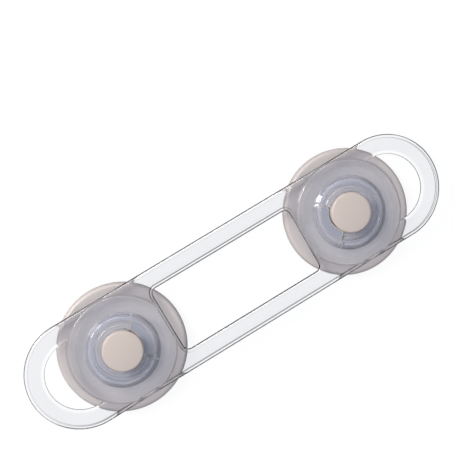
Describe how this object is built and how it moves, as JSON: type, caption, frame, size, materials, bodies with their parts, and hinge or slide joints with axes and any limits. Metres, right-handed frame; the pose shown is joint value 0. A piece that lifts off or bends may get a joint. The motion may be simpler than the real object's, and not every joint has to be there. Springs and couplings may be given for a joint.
{
  "type": "child safety latch",
  "caption": "Clear strap with finger loops snapped over round adhesive discs; a push button on each disc spreads a clip ring so the strap lifts off and the door opens.",
  "frame": {"origin": "on the mounting surface, midway between the two adhesive discs", "axes": "+X along the strap from end a to end b, +Z away from the mounting surface"},
  "size_m": [0.162, 0.045, 0.0104],
  "materials": {
    "clear_plastic": "clear moulded plastic with a faint blue tint",
    "beige_plastic": "satin warm beige moulding",
    "spring_steel": "plain wire and screw steel",
    "adhesive_foam": "closed-cell foam tape"
  },
  "bodies": {
    "base_a": {"adhesive_pad_a": "adhesive_foam", "base_disc_a": "beige_plastic"},
    "hub_a": {"hub_a": "beige_plastic", "return_spring_a": "spring_steel"},
    "button_a": {"release_button_a": "beige_plastic", "button_screw_a": "spring_steel"},
    "strap": {"strap": "clear_plastic", "boss_cover_a": "clear_plastic", "boss_cover_b": "clear_plastic", "split_ring_a": "clear_plastic", "split_ring_b": "clear_plastic"},
    "hub_b": {"hub_b": "beige_plastic", "return_spring_b": "spring_steel"},
    "button_b": {"release_button_b": "beige_plastic", "button_screw_b": "spring_steel"},
    "base_b": {"adhesive_pad_b": "adhesive_foam", "base_disc_b": "beige_plastic"}
  },
  "joints": [
    {"name": "swivel_a", "type": "hinge", "parent": "base_a", "child": "hub_a", "pos_m": [-0.0456, 0, 0.004], "axis": [0, 0, 1], "continuous": true},
    {"name": "press_a", "type": "slide", "parent": "hub_a", "child": "button_a", "axis": [0, 0, -1], "range_m": [0, 0.0018], "stiffness_N_per_m": 800, "springref_m": -0.0025, "deforming": ["return_spring_a", "split_ring_a"]},
    {"name": "lift_a", "type": "slide", "parent": "hub_a", "child": "strap", "axis": [0, 0, 1], "range_m": [0, 0.012], "deforming": ["split_ring_a"]},
    {"name": "lift_b", "type": "slide", "parent": "strap", "child": "hub_b", "axis": [0, 0, -1], "range_m": [0, 0.012], "deforming": ["split_ring_b"]},
    {"name": "press_b", "type": "slide", "parent": "hub_b", "child": "button_b", "axis": [0, 0, -1], "range_m": [0, 0.0018], "stiffness_N_per_m": 800, "springref_m": -0.0025, "deforming": ["return_spring_b", "split_ring_b"]},
    {"name": "swivel_b", "type": "hinge", "parent": "hub_b", "child": "base_b", "pos_m": [0.0456, 0, 0.004], "axis": [0, 0, 1], "continuous": true}
  ]
}
